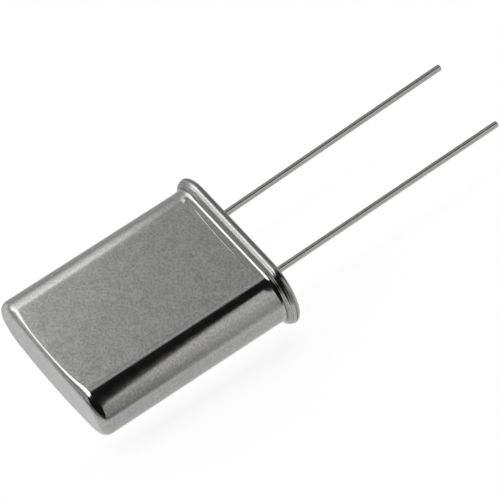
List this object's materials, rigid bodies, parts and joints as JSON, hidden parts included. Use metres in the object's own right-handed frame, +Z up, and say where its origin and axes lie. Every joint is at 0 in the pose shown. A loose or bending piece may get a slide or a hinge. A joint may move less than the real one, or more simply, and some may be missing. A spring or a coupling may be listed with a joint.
{
  "type": "crystal oscillator",
  "caption": "Quartz crystal for timing circuits: an oblong flanged metal can, closed at one end, with straight round wire leads through glass seals in its base.",
  "frame": {"origin": "on the floor under the middle of the part's outline, with the part lying on its broad side", "axes": "+Y from the closed end towards the tips of the leads, +X across the can from the left lead to the right lead, +Z up through the can's thickness"},
  "size_m": [0.0108, 0.0284, 0.0045],
  "materials": {
    "cover_nickel": "bright nickel plate on the rounded sides, end and flange, finely matt on the two broad faces",
    "header_nickel": "bright nickel plate",
    "seal_glass": "dark blue-green sealing glass, glossy",
    "lead_tin": "satin tin plate",
    "clip_nickel": "nickel-plated spring strip",
    "quartz": "clear lapped quartz",
    "silver_film": "bright silver film",
    "silver_epoxy": "dull silver-filled epoxy"
  },
  "bodies": {
    "root": {"cover": "cover_nickel", "header": "header_nickel", "left_glass_seal": "seal_glass", "right_glass_seal": "seal_glass", "left_lead": "lead_tin", "right_lead": "lead_tin", "left_spring_clip": "clip_nickel", "right_spring_clip": "clip_nickel", "quartz_blank": "quartz", "upper_electrode": "silver_film", "lower_electrode": "silver_film", "left_bond": "silver_epoxy", "right_bond": "silver_epoxy"}
  },
  "joints": []
}
